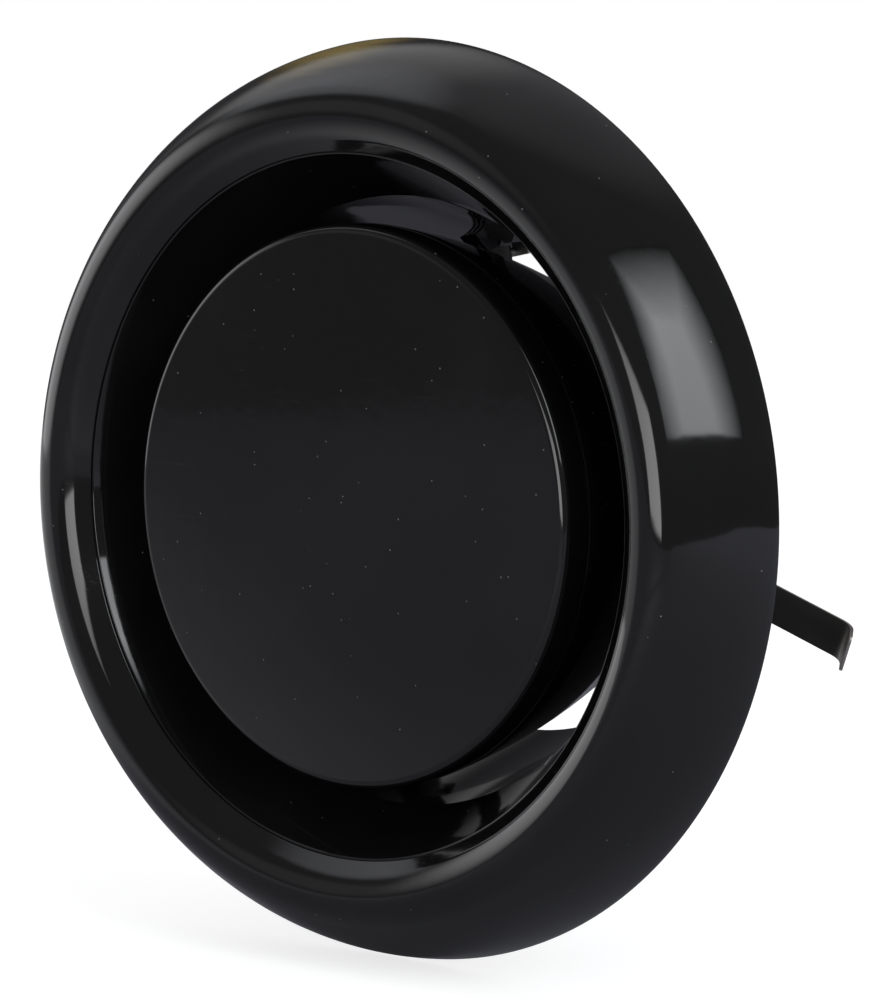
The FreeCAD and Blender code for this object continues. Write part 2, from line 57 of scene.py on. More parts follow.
# Camera, matched to the outlines of the ring, the lip and the disc in an 890 by 1000 picture
camera = {
    "turn": 40.62,             # degrees round the valve from straight ahead
    "rise": 5.63,              # degrees above the axis
    "distance": 0.634,
    "focalPixels": 4032.0,
    "pictureWidth": 890.0,
    "pictureHeight": 1000.0,
    "axisX": 401.75,           # where the valve's origin lies in the picture
    "axisY": 501.3,
    "sensorHeight": 24.0,
    "nearest": 0.01,
}
turn = math.radians(camera["turn"])
rise = math.radians(camera["rise"])
towardsCamera = Vector((math.sin(turn), -math.cos(turn), 0.0))
rightOfCamera = Vector((math.cos(turn), math.sin(turn), 0.0))
upward = Vector((0.0, 0.0, 1.0))


def newObject(name, data):
    item = bpy.data.objects.new(name, data)
    scene.collection.objects.link(item)
    return item


def placeCamera(spec):
    data = bpy.data.cameras.new("camera")
    data.sensor_fit = "VERTICAL"
    data.sensor_height = spec["sensorHeight"]
    data.lens = spec["focalPixels"] / spec["pictureHeight"] * spec["sensorHeight"]
    data.shift_x = (spec["pictureWidth"] / 2 - spec["axisX"]) / spec["pictureHeight"]
    data.shift_y = (spec["axisY"] - spec["pictureHeight"] / 2) / spec["pictureHeight"]
    data.clip_start = spec["nearest"]
    item = newObject("camera", data)
    item.location = (towardsCamera * math.cos(rise) + upward * math.sin(rise)) * spec["distance"]
    item.rotation_euler = (-item.location).to_track_quat("-Z", "Y").to_euler()
    scene.camera = item


placeCamera(camera)
scene.view_settings.view_transform = "Standard"
print("camera placed")


# Node trees: a link carries one output, and an expression on links adds its own Math nodes
class Link:
    def __init__(self, graph, socket):
        self.graph = graph
        self.socket = socket

    def output(self, name):
        return Link(self.graph, self.socket.node.outputs[name])

    def __add__(self, other):
        return self.graph.maths("ADD", self, other)

    def __radd__(self, other):
        return self.graph.maths("ADD", other, self)

    def __sub__(self, other):
        return self.graph.maths("SUBTRACT", self, other)

    def __rsub__(self, other):
        return self.graph.maths("SUBTRACT", other, self)

    def __mul__(self, other):
        return self.graph.maths("MULTIPLY", self, other)

    def __rmul__(self, other):
        return self.graph.maths("MULTIPLY", other, self)

    def __truediv__(self, other):
        return self.graph.maths("DIVIDE", self, other)

    def __rtruediv__(self, other):
        return self.graph.maths("DIVIDE", other, self)

    def __gt__(self, other):
        return self.graph.maths("GREATER_THAN", self, other)

    def __abs__(self):
        return self.graph.maths("ABSOLUTE", self)


# Sockets of a Mix node that mixes colours, by number
mixSockets = {"factor": 0, "first": 6, "second": 7, "result": 2}


class Graph:
    def __init__(self, tree):
        self.tree = tree
        tree.nodes.clear()

    def node(self, kind, settings=None, sockets=None):
        made = self.tree.nodes.new(kind)
        for name, value in (settings or {}).items():
            setattr(made, name, value)
        for name, value in (sockets or {}).items():
            if isinstance(value, Link):
                self.tree.links.new(value.socket, made.inputs[name])
            else:
                made.inputs[name].default_value = value
        return Link(self, made.outputs[0]) if made.outputs else made

    def maths(self, operation, first, second=0.0):
        return self.node("ShaderNodeMath", {"operation": operation}, {0: first, 1: second})

    def vectorMaths(self, operation, first, second):
        made = self.node("ShaderNodeVectorMath", {"operation": operation}, {0: first, 1: second})
        return made.output("Value")

    def smooth(self, value, low, high):
        return self.node("ShaderNodeMapRange", {"interpolation_type": "SMOOTHSTEP"},
                         {"Value": value, "From Min": low, "From Max": high})

    def colourMix(self, factor, first, second):
        made = self.tree.nodes.new("ShaderNodeMix")
        made.data_type = "RGBA"
        for name, value in (("factor", factor), ("first", first), ("second", second)):
            socket = made.inputs[mixSockets[name]]
            if isinstance(value, Link):
                self.tree.links.new(value.socket, socket)
            else:
                socket.default_value = value
        return Link(self, made.outputs[mixSockets["result"]])


def newMaterial(name):
    material = bpy.data.materials.new(name)
    material.use_nodes = True
    return material, Graph(material.node_tree)


# Studio: what the gloss shows is a dark room with two soft lights, a pale table and a bright backdrop
studio = {
    "floorDepth": cadBox[0][2] - 0.0004,  # just under the ring
    "floorLow": (-1.15, -0.55),           # to the camera's left, and towards it
    "floorHigh": (0.9, 1.6),              # to the camera's right, and away from it
    "floorColour": (0.45, 0.45, 0.455, 1.0),
    "floorGlossColour": (0.34, 0.34, 0.38, 1.0),
    # Painted light on the floor's gloss colour, lighter to the camera's right
    "floorPaintedRightColour": (0.60, 0.60, 0.67, 1.0),
    "floorPaintedRightStart": (0.0, 0.45),
    # A painted pool of light on the floor's gloss colour, to the left of the valve and behind it
    "floorPaintedPoolColour": (0.95, 0.95, 0.96, 1.0),
    "floorPaintedPoolStart": (-0.08, 0.06),
    "floorPaintedPoolLeft": (0.08, 0.17),
    # Painted shade on the floor's gloss colour, darker far from the camera
    "floorPaintedShadeColour": (0.08, 0.08, 0.09, 1.0),
    "floorPaintedShadeStart": (0.02, 0.30),
    "floorGlow": 0.74,                    # lifts the floor to white for the camera, and leaves the shadow
    "roomColour": (0.155, 0.157, 0.162, 1.0),
    "fillColour": (0.62, 0.62, 0.63, 1.0),
    "white": (1.0, 1.0, 1.0, 1.0),
    "black": (0.0, 0.0, 0.0, 1.0),
}
# What the gloss sees of the room's walls: each way is degrees across and up, each spread two cosines
walls = {
    "ceilingBehind": {"way": (165.0, 68.0), "spread": (0.82, 0.95), "colour": (0.34, 0.34, 0.36, 1.0)},
    "paleBackdrop": {"way": (-158.0, 44.0), "spread": (0.90, 0.985), "colour": (0.62, 0.62, 0.63, 1.0)},
    "highWindow": {"way": (-125.0, 50.0), "spread": (0.906, 0.985), "colour": (0.85, 0.86, 0.92, 1.0)},
    "darkWallBehind": {"way": (178.0, 5.0), "spread": (0.85, 0.96), "colour": (0.048, 0.048, 0.052, 1.0)},
    "wallByCamera": {"way": (-81.0, 17.0), "spread": (0.95, 0.995), "colour": (0.34, 0.34, 0.36, 1.0)},
    "brightLeftWall": {"way": (-115.0, 0.0), "spread": (0.857, 0.978), "colour": (2.0, 2.0, 2.05, 1.0)},
}
# Soft lights: screens with full corners (degrees across, degrees up, share of light) that fade to outer ones
softLights = {
    "mainSoftbox": {
        "full": ((30.0, 15.2, 0.85), (49.0, 15.2, 0.85), (45.0, 38.0, 0.95), (29.0, 39.0, 1.0)),
        "faded": ((16.0, 13.4), (65.0, 13.0), (69.0, 53.0), (14.0, 54.0)),
        "distance": 3.0, "colour": (0.94, 0.97, 1.0, 1.0), "radiance": 5.8,
    },
    "stripLight": {
        "full": ((-39.5, -3.0, 0.85), (-11.5, -4.8, 1.0), (-12.0, 12.0, 0.9), (-39.0, 14.0, 0.6)),
        "faded": ((-42.0, -4.0), (-9.5, -5.8), (-9.5, 14.5), (-42.0, 19.0)),
        "distance": 0.35, "colour": (1.0, 1.0, 1.0, 1.0), "radiance": 4.8,
    },
}


def direction(across, up):
    across = math.radians(across)
    up = math.radians(up)
    level = towardsCamera * math.cos(across) + rightOfCamera * math.sin(across)
    return level * math.cos(up) + upward * math.sin(up)


def addSoftLight(name, spec):
    count = len(spec["full"])
    corners = [direction(*way[:2]) * spec["distance"] for way in spec["full"] + spec["faded"]]
    faces = [tuple(range(count))]
    for number in range(count):
        following = (number + 1) % count
        faces.append((number, following, following + count, number + count))
    mesh = bpy.data.meshes.new(name)
    mesh.from_pydata(corners, [], faces)
    glow = mesh.attributes.new("glow", "FLOAT", "POINT")
    for number, way in enumerate(spec["full"]):
        glow.data[number].value = way[2]
    item = newObject(name, mesh)
    item.visible_camera = False
    material, graph = newMaterial(name)
    shown = graph.node("ShaderNodeAttribute", {"attribute_name": "glow"}).output("Fac")
    colour = graph.colourMix(shown, studio["black"], spec["colour"])
    screen = graph.node("ShaderNodeEmission", None, {"Color": colour, "Strength": spec["radiance"]})
    graph.node("ShaderNodeOutputMaterial", None, {"Surface": screen})
    mesh.materials.append(material)


def lightWorld(spec):
    world = bpy.data.worlds.new("studio")
    scene.world = world
    world.use_nodes = True
    graph = Graph(world.node_tree)
    rays = graph.node("ShaderNodeLightPath")
    way = graph.node("ShaderNodeTexCoord").output("Generated")
    room = spec["roomColour"]
    for wall in walls.values():
        near = graph.vectorMaths("DOT_PRODUCT", way, tuple(direction(*wall["way"])))
        room = graph.colourMix(graph.smooth(near, *wall["spread"]), room, wall["colour"])
    seen = graph.maths("MAXIMUM", rays.output("Is Glossy Ray"), rays.output("Is Transmission Ray"))
    light = graph.colourMix(seen, spec["fillColour"], room)
    shown = graph.colourMix(rays.output("Is Camera Ray"), light, spec["white"])
    background = graph.node("ShaderNodeBackground", None, {"Color": shown, "Strength": 1.0})
    graph.node("ShaderNodeOutputWorld", None, {"Surface": background})


def layFloor(spec):
    mesh = bpy.data.meshes.new("floor")
    corners = []
    for across, away in ((0, 0), (1, 0), (1, 1), (0, 1)):
        x = (spec["floorLow"], spec["floorHigh"])[across][0]
        y = (spec["floorLow"], spec["floorHigh"])[away][1]
        corners.append(rightOfCamera * x - towardsCamera * y + upward * spec["floorDepth"])
    mesh.from_pydata(corners, [], [(0, 1, 2, 3)])
    floor = newObject("floor", mesh)
    material, graph = newMaterial("paleTable")
    rays = graph.node("ShaderNodeLightPath")
    fromCamera = rays.output("Is Camera Ray")
    place = graph.node("ShaderNodeTexCoord").output("Object")
    away = graph.vectorMaths("DOT_PRODUCT", place, tuple(-towardsCamera))
    right = graph.vectorMaths("DOT_PRODUCT", place, tuple(rightOfCamera))
    # Painted light: the floor's gloss colour is lighter to the camera's right
    gloss = graph.colourMix(graph.smooth(right, *spec["floorPaintedRightStart"]),
                            spec["floorGlossColour"], spec["floorPaintedRightColour"])
    # Painted shade: the floor's gloss colour darkens far from the camera
    gloss = graph.colourMix(graph.smooth(away, *spec["floorPaintedShadeStart"]), gloss, spec["floorPaintedShadeColour"])
    # Painted light: a painted pool of light on the floor, to the left of the valve and behind it
    paintedPool = (graph.smooth(away, *spec["floorPaintedPoolStart"])
              * graph.smooth(right * -1.0, *spec["floorPaintedPoolLeft"]))
    gloss = graph.colourMix(paintedPool, gloss, spec["floorPaintedPoolColour"])
    colour = graph.colourMix(fromCamera, gloss, spec["floorColour"])
    cloth = graph.node("ShaderNodeBsdfDiffuse", None, {"Color": colour})
    glow = graph.node("ShaderNodeEmission", None,
                      {"Color": spec["white"], "Strength": fromCamera * spec["floorGlow"]})
    both = graph.node("ShaderNodeAddShader", None, {0: cloth, 1: glow})
    graph.node("ShaderNodeOutputMaterial", None, {"Surface": both})
    mesh.materials.append(material)


for lightName, lightSpec in softLights.items():
    addSoftLight(lightName, lightSpec)
lightWorld(studio)
layFloor(studio)
print("studio lit")


# Finishes
def newFinish(name):
    material, graph = newMaterial(name)
    place = graph.node("ShaderNodeTexCoord").output("Object")
    return material, graph, place


def noise(graph, place, scale, detail=2.0, roughness=0.5):
    return graph.node("ShaderNodeTexNoise", None,
                      {"Vector": place, "Scale": scale, "Detail": detail, "Roughness": roughness})


def stretched(graph, place, angles, scale):
    return graph.node("ShaderNodeMapping", None, {
        "Vector": place, "Rotation": tuple(math.radians(angle) for angle in angles), "Scale": scale})


def finishSurface(material, graph, colour, roughness, height, bumpDistance, constants):
    bump = graph.node("ShaderNodeBump", None, {"Height": height, "Distance": bumpDistance})
    surface = graph.node("ShaderNodeBsdfPrincipled", None, {
        "Base Color": colour, "Roughness": roughness, "Normal": bump, **constants})
    graph.node("ShaderNodeOutputMaterial", None, {"Surface": surface})
    return material


glossPlastic = {
    "colour": (0.0038, 0.0038, 0.0038, 1.0),
    "roughness": 0.055,
    "haze": {
        "colour": (0.0058, 0.0058, 0.0058, 1.0), "roughness": 0.03,
        "scale": 34.0, "detail": 3.0, "spread": (0.42, 0.72),
    },
    "scratches": {
        "roughness": 0.10, "ways": ((15, 40, 25), (-30, 8, 70), (60, -35, 5)), "width": 0.012,
        "stretch": (26.0, 900.0, 900.0), "patchStretch": (70.0, 70.0, 70.0), "patchSpread": (0.56, 0.66),
    },
    "dust": {
        "colour": (0.16, 0.155, 0.145, 1.0), "roughness": 0.5, "scale": 600.0, "size": 0.085, "core": 0.6,
    },
    "stain": {
        "colour": (0.27, 0.195, 0.055, 1.0), "place": (-0.011, 0.002, 0.0735), "spread": (0.007, 0.019),
        "turn": (0, 25, 0), "stretch": (60.0, 260.0, 700.0), "detail": 3.0, "ragged": 0.008,
    },
    "peel": {"scale": 300.0, "detail": 1.0, "height": 0.00001},
    "constants": {"IOR": 1.5, "Specular IOR Level": 0.5},
}


# Hairline scratches lie where a long, thin noise passes through its middle
def scratchMask(graph, place, spec):
    scratches = 0.0
    for angles in spec["ways"]:
        lines = noise(graph, stretched(graph, place, angles, spec["stretch"]), scale=1.0, detail=1.0)
        near = 1.0 - graph.smooth(abs(lines - 0.5), 0.0, spec["width"])
        cloud = noise(graph, stretched(graph, place, angles, spec["patchStretch"]), scale=1.0)
        scratches = near * graph.smooth(cloud, *spec["patchSpread"]) + scratches
    return scratches


def dustMask(graph, place, spec, share):
    cells = graph.node("ShaderNodeTexVoronoi", None, {"Vector": place, "Scale": spec["scale"]})
    chance = graph.node("ShaderNodeSeparateColor", None, {"Color": cells.output("Color")})
    speck = 1.0 - graph.smooth(cells.output("Distance"), spec["size"] * spec["core"], spec["size"])
    return speck * (chance > 1.0 - share)


def stainMask(graph, place, spec):
    distance = graph.vectorMaths("DISTANCE", place, spec["place"])
    drawn = stretched(graph, place, spec["turn"], spec["stretch"])
    streaks = noise(graph, drawn, scale=1.0, detail=spec["detail"])
    ragged = distance + streaks * spec["ragged"] - spec["ragged"] / 2
    return 1.0 - graph.smooth(ragged, *spec["spread"])


def glossBlack(name, dust, stained=False):
    spec = glossPlastic
    material, graph, place = newFinish(name)
    haze = spec["haze"]
    hazy = graph.smooth(noise(graph, place, haze["scale"], haze["detail"]), *haze["spread"])
    scratches = scratchMask(graph, place, spec["scratches"])
    dusty = dustMask(graph, place, spec["dust"], dust)
    colour = graph.colourMix(hazy, spec["colour"], haze["colour"])
    if stained:
        stain = stainMask(graph, place, spec["stain"])
        colour = graph.colourMix(stain, colour, spec["stain"]["colour"])
    colour = graph.colourMix(dusty, colour, spec["dust"]["colour"])
    roughness = (hazy * haze["roughness"] + scratches * spec["scratches"]["roughness"]
                 + dusty * spec["dust"]["roughness"] + spec["roughness"])
    peel = noise(graph, place, spec["peel"]["scale"], spec["peel"]["detail"])
    return finishSurface(material, graph, colour, roughness, peel, spec["peel"]["height"],
                         spec["constants"])


# Metals: the brushed lines run along the axes in which the stretch is least
metals = {
    "zinc": {
        "name": "zincPlatedSteel", "colour": (0.60, 0.60, 0.585, 1.0), "worn": (0.40, 0.39, 0.37, 1.0),
        "roughness": 0.28, "wornAt": 0.62, "stretch": (180.0, 1500.0, 180.0),
    },
    "brass": {
        "name": "turnedBrass", "colour": (0.74, 0.53, 0.25, 1.0), "worn": (0.48, 0.33, 0.16, 1.0),
        "roughness": 0.25, "wornAt": 0.66, "stretch": (150.0, 1800.0, 150.0),
    },
    "spring": {
        "name": "oiledSpringSteel", "colour": (0.34, 0.32, 0.30, 1.0), "worn": (0.46, 0.42, 0.36, 1.0),
        "roughness": 0.42, "wornAt": 0.70, "stretch": (500.0, 160.0, 500.0),
    },
}
brushing = {
    "cloudScale": 120.0, "cloudDetail": 4.0, "cloudRoughness": 0.6, "cloudGloss": 0.12,
    "lineDetail": 3.0, "lineRoughness": 0.65, "lineGloss": 0.16, "lineHeight": 0.000015, "meanGloss": 0.14,
    "speckScale": 2600.0, "speckDetail": 1.0, "speckSpread": (0.70, 0.76), "speckShare": 0.35,
    "wornLines": 0.25, "wornSpread": 0.18, "wornShare": 0.6,
}


def brushedMetal(spec, brush):
    material, graph, place = newFinish(spec["name"])
    cloud = noise(graph, place, brush["cloudScale"], brush["cloudDetail"], brush["cloudRoughness"])
    drawn = stretched(graph, place, (0, 0, 0), spec["stretch"])
    lines = noise(graph, drawn, 1.0, brush["lineDetail"], brush["lineRoughness"])
    specks = noise(graph, place, brush["speckScale"], brush["speckDetail"])
    worn = graph.smooth(cloud + lines * brush["wornLines"], spec["wornAt"],
                        spec["wornAt"] + brush["wornSpread"])
    worn = worn * brush["wornShare"] + graph.smooth(specks, *brush["speckSpread"]) * brush["speckShare"]
    colour = graph.colourMix(worn, spec["colour"], spec["worn"])
    roughness = (cloud * brush["cloudGloss"] + lines * brush["lineGloss"] + spec["roughness"]
                 - brush["meanGloss"])
    return finishSurface(material, graph, colour, roughness, lines, brush["lineHeight"], {"Metallic": 1.0})


foam = {
    "colour": (0.022, 0.022, 0.023, 1.0), "roughness": 0.85,
    # The pores' darker colour is painted shade in them, besides their bump
    "poreShadeColour": (0.006, 0.006, 0.006, 1.0), "poreScale": 1400.0, "poreSpread": (0.15, 0.55),
    "poreHeight": 0.00012, "cloudScale": 60.0, "cloudDetail": 3.0, "cloudGloss": 0.1,
}


def closedCellFoam(name, spec):
    material, graph, place = newFinish(name)
    cells = graph.node("ShaderNodeTexVoronoi", None, {"Vector": place, "Scale": spec["poreScale"]})
    pores = 1.0 - graph.smooth(cells.output("Distance"), *spec["poreSpread"])
    cloud = noise(graph, place, spec["cloudScale"], spec["cloudDetail"])
    # Painted shade: the pores are darkened as well as bumped
    colour = graph.colourMix(pores * cloud, spec["colour"], spec["poreShadeColour"])
    roughness = cloud * spec["cloudGloss"] + spec["roughness"]
    return finishSurface(material, graph, colour, roughness, 1.0 - pores, spec["poreHeight"], {})


finishes = {
    "ring": glossBlack("glossBlackRing", dust=0.12, stained=True),
    "disc": glossBlack("glossBlackDisc", dust=0.26),
    "throat": glossBlack("glossBlackThroat", dust=0.10),
}
for metalName, metalSpec in metals.items():
    finishes[metalName] = brushedMetal(metalSpec, brushing)
finishes["foam"] = closedCellFoam("closedCellFoam", foam)
print("finishes made")


# Outlines: corners are radius and depth in millimetres, then the curve and its side where an arc starts
outlineSteps = {"arcDegrees": 4.0, "longRadius": 20.0, "longCount": 12, "besideCorner": 0.22, "shortest": 0.9}


def arcPoints(start, end, radius, left):
    middle = (start + end) / 2
    way = end - start
    side = Vector((-way.y, way.x)).normalized() * (1 if left else -1)
    centre = middle + side * math.sqrt(max(radius * radius - way.length_squared / 4, 0.0))
    first = math.atan2(start.y - centre.y, start.x - centre.x)
    sweep = math.atan2(end.y - centre.y, end.x - centre.x) - first
    sweep = (sweep + math.pi) % (2 * math.pi) - math.pi
    count = max(2, math.ceil(abs(math.degrees(sweep)) / outlineSteps["arcDegrees"]))
    if radius > outlineSteps["longRadius"]:
        count = max(count, outlineSteps["longCount"])
    angles = [first + sweep * step / count for step in range(count)]
    return [centre + Vector((math.cos(angle), math.sin(angle))) * radius for angle in angles]


def outlinePoints(corners):
    points = []
    for corner, following in zip(corners, corners[1:] + corners[:1]):
        start = Vector(corner[:2])
        end = Vector(following[:2])
        if len(corner) > 2:
            curve, side = corner[2:]
            points += arcPoints(start, end, curve, side == "left")
            continue
        points.append(start)
        length = (end - start).length
        if length > outlineSteps["shortest"]:
            inset = outlineSteps["besideCorner"] / length
            points += [start.lerp(end, inset), start.lerp(end, 1 - inset)]
    points.append(Vector(corners[0][:2]))
    return [point * mm for point in points]


# Geometry Nodes: a tree turns an outline about the valve's axis
def groupWith(name, inputs):
    tree = bpy.data.node_groups.new(name, "GeometryNodeTree")
    sockets = {}
    for label, kind in inputs.items():
        sockets[label] = tree.interface.new_socket(label, in_out="INPUT", socket_type=kind)
    tree.interface.new_socket("Geometry", in_out="OUTPUT", socket_type="NodeSocketGeometry")
    graph = Graph(tree)
    given = graph.node("NodeGroupInput")
    return tree, sockets, graph, given


def closeTree(graph, mesh, merge, finish):
    welded = graph.node("GeometryNodeMergeByDistance", None, {"Geometry": mesh, "Distance": merge})
    painted = graph.node("GeometryNodeSetMaterial", None, {"Geometry": welded, "Material": finish})
    whole = graph.node("GeometryNodeRealizeInstances", None, {"Geometry": painted})
    graph.node("NodeGroupOutput", None, {"Geometry": whole})


def makeTurningTree():
    tree, sockets, graph, given = groupWith("turnOutline", {
        "Outline": "NodeSocketGeometry", "Steps": "NodeSocketInt", "Merge": "NodeSocketFloat",
        "Finish": "NodeSocketMaterial"})
    outline = given.output("Outline")
    count = graph.node("GeometryNodeAttributeDomainSize", {"component": "MESH"},
                       {"Geometry": outline}).output("Point Count")
    grid = graph.node("GeometryNodeMeshGrid", None, {
        "Size X": 1.0, "Size Y": 1.0, "Vertices X": count, "Vertices Y": given.output("Steps") + 1})
    spot = graph.node("ShaderNodeSeparateXYZ", None, {"Vector": graph.node("GeometryNodeInputPosition")})
    index = graph.maths("ROUND", (spot.output("X") + 0.5) * (count - 1))
    angle = (spot.output("Y") + 0.5) * (2 * math.pi)
    sampled = graph.node("GeometryNodeSampleIndex", {"data_type": "FLOAT_VECTOR", "domain": "POINT"}, {
        "Geometry": outline, "Value": graph.node("GeometryNodeInputPosition"), "Index": index})
    part = graph.node("ShaderNodeSeparateXYZ", None, {"Vector": sampled})
    cosine = graph.maths("COSINE", angle)
    sine = graph.maths("SINE", angle)
    place = graph.node("ShaderNodeCombineXYZ", None, {
        "X": part.output("X") * cosine, "Y": part.output("Y"), "Z": part.output("X") * sine})
    turned = graph.node("GeometryNodeSetPosition", None, {"Geometry": grid, "Position": place})
    closeTree(graph, turned, given.output("Merge"), given.output("Finish"))
    return tree, sockets


turningTree, turningSockets = makeTurningTree()
turning = {"Steps": 288, "Merge": 0.000002}


def applyTree(item, tree, sockets, values):
    modifier = item.modifiers.new("shape", "NODES")
    modifier.node_group = tree
    for label, value in values.items():
        modifier[sockets[label].identifier] = value


def freeze(item, name):
    shown = bpy.context.evaluated_depsgraph_get()
    mesh = bpy.data.meshes.new_from_object(item.evaluated_get(shown))
    item.modifiers.clear()
    item.data = mesh
    item.name = name
    mesh.name = name


def outward(mesh):
    work = bmesh.new()
    work.from_mesh(mesh)
    bmesh.ops.recalc_face_normals(work, faces=work.faces)
    work.to_mesh(mesh)
    work.free()


def bevelEdges(item, width, segments=3, limit=28.0):
    modifier = item.modifiers.new("edges", "BEVEL")
    modifier.width = width * mm
    modifier.segments = segments
    modifier.limit_method = "ANGLE"
    modifier.angle_limit = math.radians(limit)
    freeze(item, item.name)


def shade(item, sharp=30.0):
    item.data.shade_smooth()
    item.data.set_sharp_from_angle(angle=math.radians(sharp))


def turnPiece(name, corners, finish, bevel, sharp=30.0):
    points = outlinePoints(corners)
    mesh = bpy.data.meshes.new(f"{name}Outline")
    mesh.from_pydata([(point.x, point.y, 0.0) for point in points], [
        (number, number + 1) for number in range(len(points) - 1)], [])
    item = newObject(name, mesh)
    applyTree(item, turningTree, turningSockets, {**turning, "Finish": finishes[finish]})
    freeze(item, name)
    outward(item.data)
    bevelEdges(item, bevel)
    shade(item, sharp)
    return item


# Front ring, as a hollow moulding
ring = {
    "radius": 72.5, "wall": 2.2, "shoulder": (65.2, 15.56), "shoulderSlope": 49.0, "flankCurve": 31.3,
    "crestCurve": 5.8, "lipSlope": 43.95, "lipLand": 0.3, "lipRadius": 54.9, "seamHeight": 13.8,
    "bevel": 0.12,
}


def buildRing(spec):
    outer = math.radians(spec["shoulderSlope"])
    lip = math.radians(-spec["lipSlope"])
    curve = spec["crestCurve"]
    innerCurve = curve - spec["wall"]
    crestX = spec["shoulder"][0] - curve * math.sin(outer)
    crestY = spec["shoulder"][1] - curve * math.cos(outer)

    def onCrest(angle, radius):
        return crestX + radius * math.sin(angle), -(crestY + radius * math.cos(angle))

    innerLip = onCrest(lip, innerCurve)
    innerFoot = innerLip[0] + (-innerLip[1] - spec["seamHeight"]) / math.tan(lip)
    corners = [
        (spec["radius"], 0, spec["flankCurve"], "right"),
        (*onCrest(outer, curve), curve, "right"),
        onCrest(lip, curve),
        (spec["lipRadius"], -spec["seamHeight"] - spec["lipLand"]),
        (spec["lipRadius"], -spec["seamHeight"]),
        (innerFoot, -spec["seamHeight"]),
        (*innerLip, innerCurve, "left"),
        (*onCrest(outer, innerCurve), spec["flankCurve"] - spec["wall"], "left"),
        (spec["radius"] - spec["wall"], 0),
    ]
    item = turnPiece("frontRing", corners, "ring", spec["bevel"])
    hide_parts("front_ring")
    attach(item, "housing")


buildRing(ring)
print("front ring turned")

# Throat: funnel, flange and spigot, then the hub and the arms that carry it
throat = {
    "lipRadius": 54.6, "seamHeight": 13.8, "wall": 1.8, "creaseRadius": 48.0, "rearRadius": 39.9,
    "rearDepth": 32.2, "landRadius": 49.5, "landDepth": 5.0, "flangeRadius": 68.8, "flangeBack": 2.8,
    "flangeFront": 4.8, "ringLip": 54.9, "bevel": 0.12, "sharp": 8.0,
}


def buildThroat(spec):
    taper = (spec["creaseRadius"] - spec["rearRadius"]) / spec["rearDepth"]
    slope = (spec["lipRadius"] - spec["creaseRadius"]) / spec["seamHeight"]
    corners = [
        (spec["lipRadius"], -spec["seamHeight"]),
        (spec["creaseRadius"], 0),
        (spec["rearRadius"], spec["rearDepth"]),
        (spec["rearRadius"] + spec["wall"], spec["rearDepth"]),
        (spec["creaseRadius"] - taper * spec["landDepth"] + spec["wall"], spec["landDepth"]),
        (spec["landRadius"], spec["landDepth"]),
        (spec["landRadius"], -spec["flangeBack"]),
        (spec["flangeRadius"], -spec["flangeBack"]),
        (spec["flangeRadius"], -spec["flangeFront"]),
        (spec["creaseRadius"] + spec["wall"] + slope * spec["flangeFront"], -spec["flangeFront"]),
        (spec["ringLip"] + spec["wall"], -spec["seamHeight"]),
    ]
    item = turnPiece("throatShell", corners, "throat", spec["bevel"], spec["sharp"])
    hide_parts("throat")
    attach(item, "housing")


buildThroat(throat)
print("throat turned")

hub = {
    "bore": 4.55, "radius": 7.5, "rearRadius": 7.0, "front": 29.6, "shoulder": 34.0, "rear": 43.0,
    "bevel": 0.2,
}


def buildHub(spec):
    corners = [
        (spec["bore"], spec["front"]),
        (spec["radius"], spec["front"]),
        (spec["radius"], spec["shoulder"]),
        (spec["rearRadius"], spec["rear"]),
        (spec["bore"], spec["rear"]),
    ]
    item = turnPiece("hubBarrel", corners, "throat", spec["bevel"])
    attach(item, "housing")


buildHub(hub)

arms = {
    "angle": -19.4, "count": 3, "width": 3.4, "front": 29.6, "rear": 34.0, "root": 6.5,
    "gussetStart": 36.96, "gussetEnd": (42.86, 24.0), "wallPlace": (40.8, 32.2),
    "grooveWidth": 1.2, "grooveDepth": 0.8, "grooveSpan": (8.0, 36.4),
    "ribWidth": 1.7, "ribReach": 20.5, "ribRear": 41.6, "ribFront": 33.0,
    "bossPlace": 41.2, "bossRadius": 2.4, "bossFront": 31.0, "bossRear": 36.5,
    "pilotRadius": 1.2, "pilotDepth": 5.0, "bevel": 0.25, "bevelSegments": 2,
}


def plate(work, outline, low, high):
    below = [work.verts.new((x * mm, y * mm, low * mm)) for x, y in outline]
    above = [work.verts.new((x * mm, y * mm, high * mm)) for x, y in outline]
    work.faces.new(below)
    work.faces.new(list(reversed(above)))
    for number in range(len(outline)):
        following = (number + 1) % len(outline)
        work.faces.new((below[number], above[number], above[following], below[following]))


def meshFrom(work, name):
    bmesh.ops.recalc_face_normals(work, faces=work.faces)
    mesh = bpy.data.meshes.new(name)
    work.to_mesh(mesh)
    work.free()
    return mesh


def tubeAlongY(work, place, inner, outer, front, rear, bottom, steps=40):
    circle = [2 * math.pi * step / steps for step in range(steps)]
    rings = []
    for radius, depth in ((outer, front), (outer, rear), (inner, rear), (inner, bottom)):
        rings.append([work.verts.new(((place + radius * math.cos(angle)) * mm, depth * mm,
                                      radius * math.sin(angle) * mm)) for angle in circle])
    for one, two in zip(rings, rings[1:]):
        for step in range(steps):
            following = (step + 1) % steps
            work.faces.new((one[step], one[following], two[following], two[step]))
    work.faces.new(rings[0])
    work.faces.new(list(reversed(rings[-1])))


